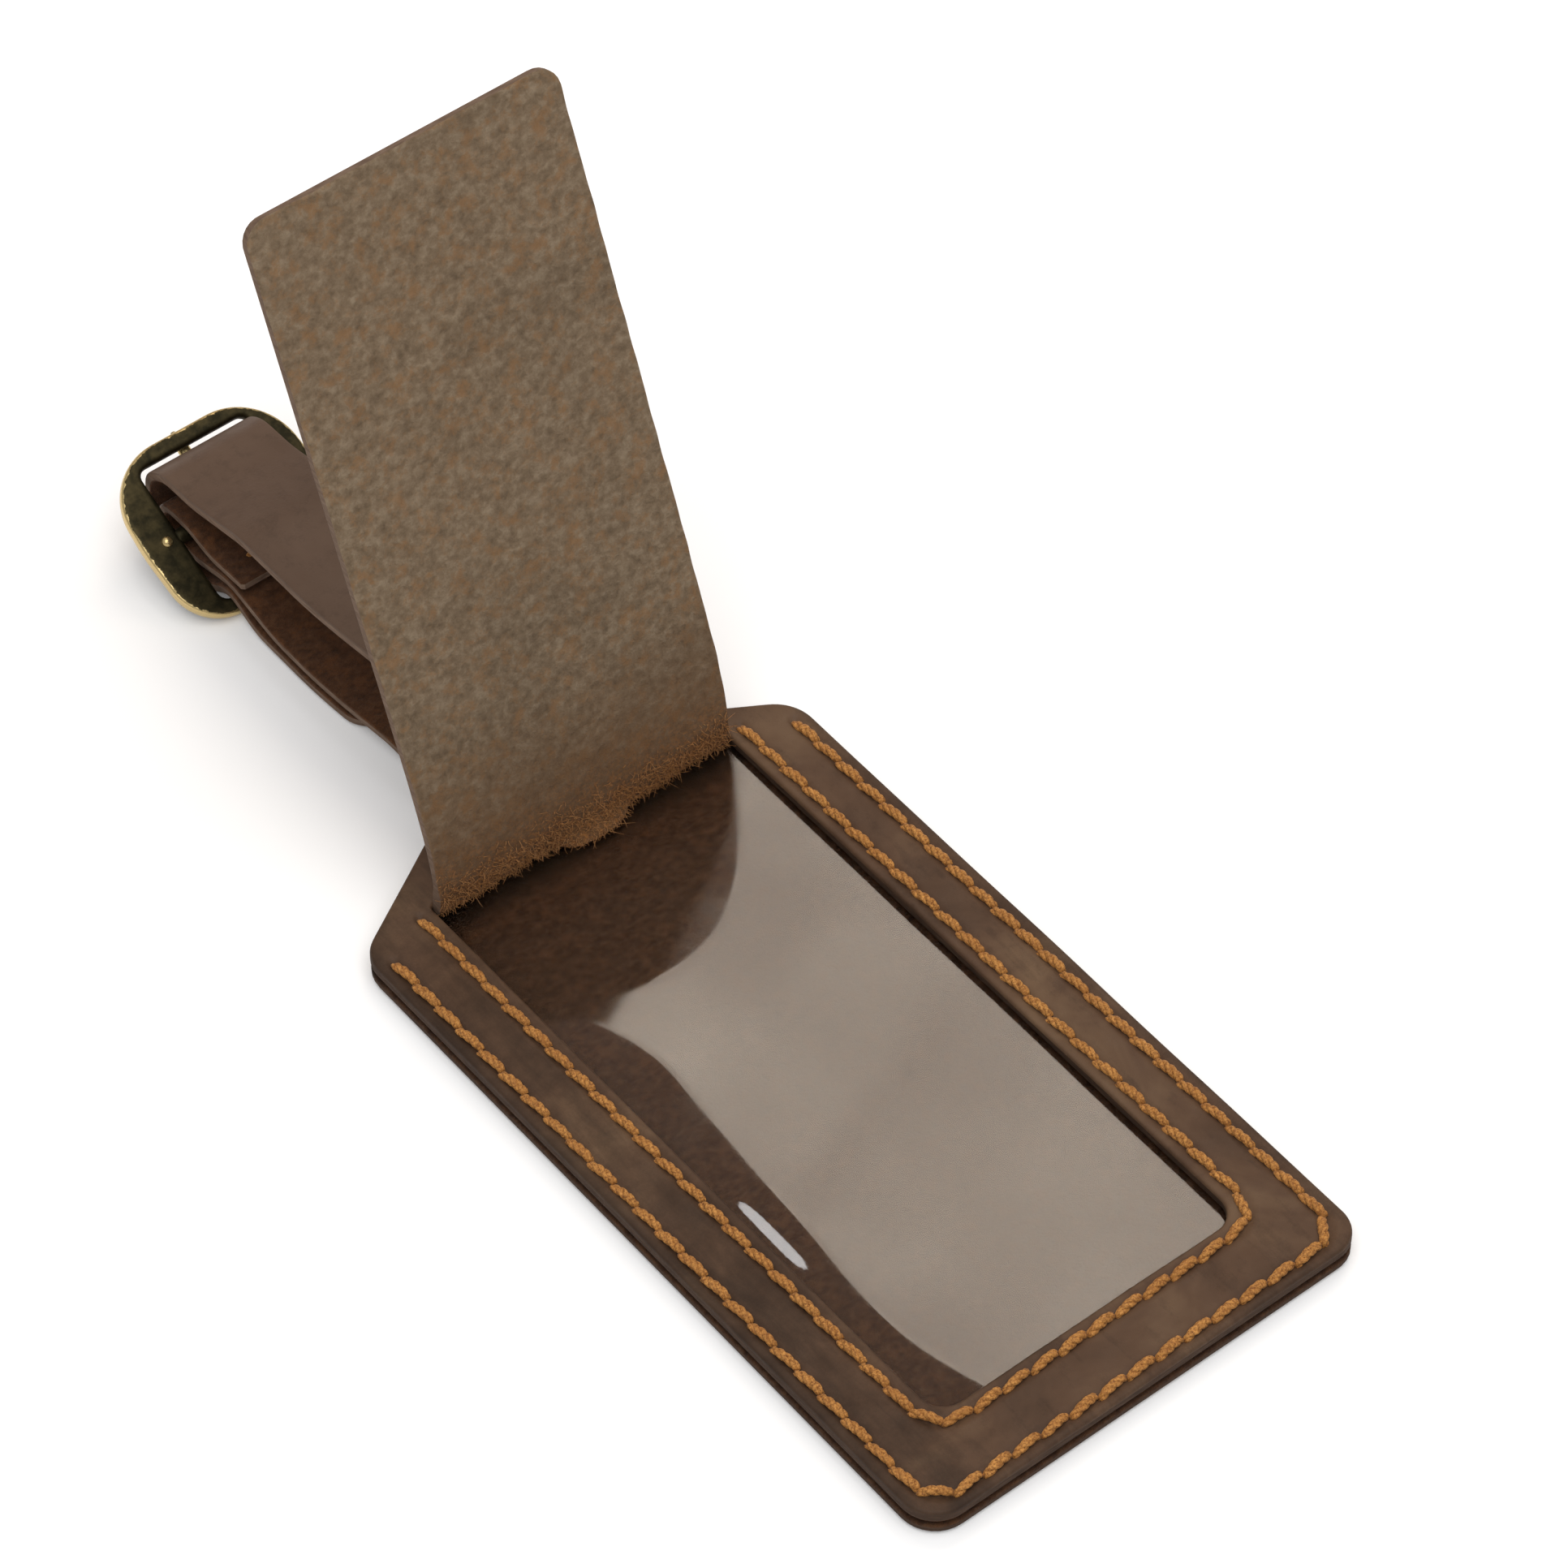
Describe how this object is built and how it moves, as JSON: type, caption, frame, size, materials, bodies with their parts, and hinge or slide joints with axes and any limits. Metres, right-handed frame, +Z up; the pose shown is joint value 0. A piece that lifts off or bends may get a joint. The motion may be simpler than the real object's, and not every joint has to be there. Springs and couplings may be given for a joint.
{
  "type": "luggage tag",
  "caption": "Rectangular leather luggage tag: stitched window pocket, fold-over privacy flap and a strap loop closed by a small pronged buckle.",
  "frame": {"origin": "middle of the flat underside of the tag body", "axes": "+Z up out of the window side, +Y along the tag towards its strap, +X across it"},
  "size_m": [0.0668, 0.1891, 0.0965],
  "materials": {
    "leather_front": "waxed pull-up leather, dark brown",
    "leather_back": "waxed pull-up leather, dark brown",
    "leather_flap": "rough flesh side showing",
    "leather_strap": "smooth waxed grain side",
    "clear_vinyl": "clear flexible sheet",
    "thread": "thick waxed thread, golden tan",
    "antique_brass": "darkened cast brass with rubbed edges"
  },
  "bodies": {
    "tag_body": {"front_panel": "leather_front", "back_panel": "leather_back", "window_sheet": "clear_vinyl", "outer_stitch_front": "thread", "inner_stitch_front": "thread", "outer_stitch_back": "thread", "inner_stitch_back": "thread"},
    "flap": {"privacy_flap": "leather_flap"},
    "strap_loop": {"strap": "leather_strap", "fold_stitch": "thread"},
    "buckle": {"buckle_frame": "antique_brass", "buckle_bar": "antique_brass"},
    "prong": {"buckle_prong": "antique_brass"}
  },
  "joints": [
    {"name": "flap_hinge", "type": "hinge", "parent": "tag_body", "child": "flap", "pos_m": [0.0004, 0.055, 0.0038], "axis": [1, 0, 0], "range_deg": [-3, 108]},
    {"name": "strap_swing", "type": "hinge", "parent": "tag_body", "child": "strap_loop", "pos_m": [0, 0.0666, 0.00295], "axis": [1, 0, 0], "range_deg": [-20, 15]},
    {"name": "buckle_tilt", "type": "hinge", "parent": "strap_loop", "child": "buckle", "pos_m": [-0.0039, 0.12255, 0.00628], "axis": [1, 0, 0], "range_deg": [-1.5, 5]},
    {"name": "prong_play", "type": "hinge", "parent": "buckle", "child": "prong", "pos_m": [-0.0039, 0.12255, 0.00628], "axis": [1, 0, 0], "range_deg": [-2, 1]}
  ]
}
